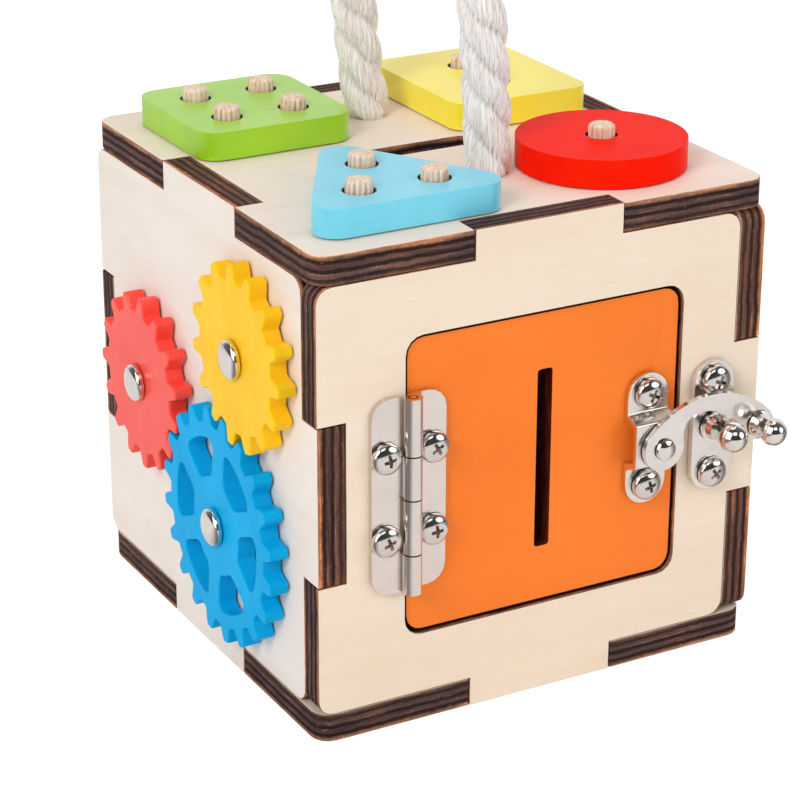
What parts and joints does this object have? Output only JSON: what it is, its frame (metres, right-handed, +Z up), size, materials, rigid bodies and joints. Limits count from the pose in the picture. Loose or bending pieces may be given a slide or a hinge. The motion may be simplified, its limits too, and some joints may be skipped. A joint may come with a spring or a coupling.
{
  "type": "activity cube",
  "caption": "Plywood activity cube with a hinged, latched door, meshed gears on one side, shape blocks on pegs and a coin slot on top, and a rope handle.",
  "frame": {"origin": "centre of the bottom face, at the height of the surface that the cube stands on", "axes": "+Z up, -Y out of the door's face, -X out of the face with the gears, in metres"},
  "size_m": [0.1074, 0.113, 0.1746],
  "materials": {
    "plywood": "sanded birch plywood with laser-charred edges",
    "orange_paint": "plywood painted orange, satin",
    "hinge_steel": "nickel-plated steel",
    "screw_steel": "nickel-plated pan heads",
    "chrome": "polished chrome plate",
    "blue_gear_paint": "painted wood, satin",
    "yellow_gear_paint": "painted wood, satin",
    "red_gear_paint": "painted wood, satin",
    "green_square_paint": "painted wood, satin",
    "blue_triangle_paint": "painted wood, satin",
    "yellow_rectangle_paint": "painted wood, satin",
    "red_disc_paint": "painted wood, satin",
    "beech": "bare beech dowel, fluted",
    "cotton": "twisted natural cotton"
  },
  "bodies": {
    "box": {"bottom_panel": "plywood", "top_panel": "plywood", "front_panel": "plywood", "left_panel": "plywood", "back_panel": "plywood", "right_panel": "plywood", "hinge_frame_leaf": "hinge_steel", "hinge_pin": "hinge_steel", "hinge_frame_screw_lower": "screw_steel", "hinge_frame_screw_upper": "screw_steel", "latch_frame_screw_lower": "screw_steel", "latch_frame_screw_upper": "screw_steel", "latch_frame_plate": "chrome", "latch_stud": "chrome", "blue_gear_axle": "chrome", "blue_gear_nut": "hinge_steel", "yellow_gear_axle": "chrome", "yellow_gear_nut": "hinge_steel", "red_gear_axle": "chrome", "red_gear_nut": "hinge_steel", "green_square_peg_1": "beech", "green_square_peg_2": "beech", "green_square_peg_3": "beech", "green_square_peg_4": "beech", "blue_triangle_peg_1": "beech", "blue_triangle_peg_2": "beech", "blue_triangle_peg_3": "beech", "yellow_rectangle_peg_1": "beech", "yellow_rectangle_peg_2": "beech", "red_disc_peg_1": "beech", "rope_handle": "cotton", "rope_knot_front": "cotton", "rope_knot_back": "cotton"},
    "door": {"door_panel": "orange_paint", "hinge_door_leaf": "hinge_steel", "hinge_door_screw_lower": "screw_steel", "hinge_door_screw_upper": "screw_steel", "latch_door_plate": "chrome", "latch_door_screw_lower": "screw_steel", "latch_door_screw_upper": "screw_steel", "latch_pivot_rivet": "chrome"},
    "latch_arm": {"latch_arm": "chrome", "latch_finger_knob": "chrome"},
    "blue_gear": {"blue_gear": "blue_gear_paint"},
    "yellow_gear": {"yellow_gear": "yellow_gear_paint"},
    "red_gear": {"red_gear": "red_gear_paint"},
    "green_square_block": {"green_square_block": "green_square_paint"},
    "blue_triangle_block": {"blue_triangle_block": "blue_triangle_paint"},
    "yellow_rectangle_block": {"yellow_rectangle_block": "yellow_rectangle_paint"},
    "red_disc_block": {"red_disc_block": "red_disc_paint"}
  },
  "joints": [
    {"name": "door_hinge", "type": "hinge", "parent": "box", "child": "door", "pos_m": [-0.03085, -0.0522, 0.0498], "axis": [0, 0, -1], "range_deg": [0, 155]},
    {"name": "latch_pivot", "type": "hinge", "parent": "door", "child": "latch_arm", "pos_m": [0.0244, -0.0542, 0.04915], "axis": [0, -1, 0], "range_deg": [0, 100]},
    {"name": "blue_gear_spin", "type": "hinge", "parent": "box", "child": "blue_gear", "pos_m": [-0.0504, -0.0139, 0.033], "axis": [-1, 0, 0], "continuous": true},
    {"name": "yellow_gear_spin", "type": "hinge", "parent": "box", "child": "yellow_gear", "pos_m": [-0.0504, -0.02386, 0.07236], "axis": [-1, 0, 0], "continuous": true},
    {"name": "red_gear_spin", "type": "hinge", "parent": "box", "child": "red_gear", "pos_m": [-0.0504, 0.02247, 0.05105], "axis": [-1, 0, 0], "continuous": true},
    {"name": "green_square_lift", "type": "slide", "parent": "box", "child": "green_square_block", "axis": [0, 0, 1], "range_m": [0, 0.025]},
    {"name": "blue_triangle_lift", "type": "slide", "parent": "box", "child": "blue_triangle_block", "axis": [0, 0, 1], "range_m": [0, 0.025]},
    {"name": "yellow_rectangle_lift", "type": "slide", "parent": "box", "child": "yellow_rectangle_block", "axis": [0, 0, 1], "range_m": [0, 0.025]},
    {"name": "red_disc_lift", "type": "slide", "parent": "box", "child": "red_disc_block", "axis": [0, 0, 1], "range_m": [0, 0.025]}
  ],
  "couplings": [
    {"joint": "yellow_gear_spin", "follows": "blue_gear_spin", "ratio": -1.3333},
    {"joint": "red_gear_spin", "follows": "blue_gear_spin", "ratio": -1.3333}
  ]
}
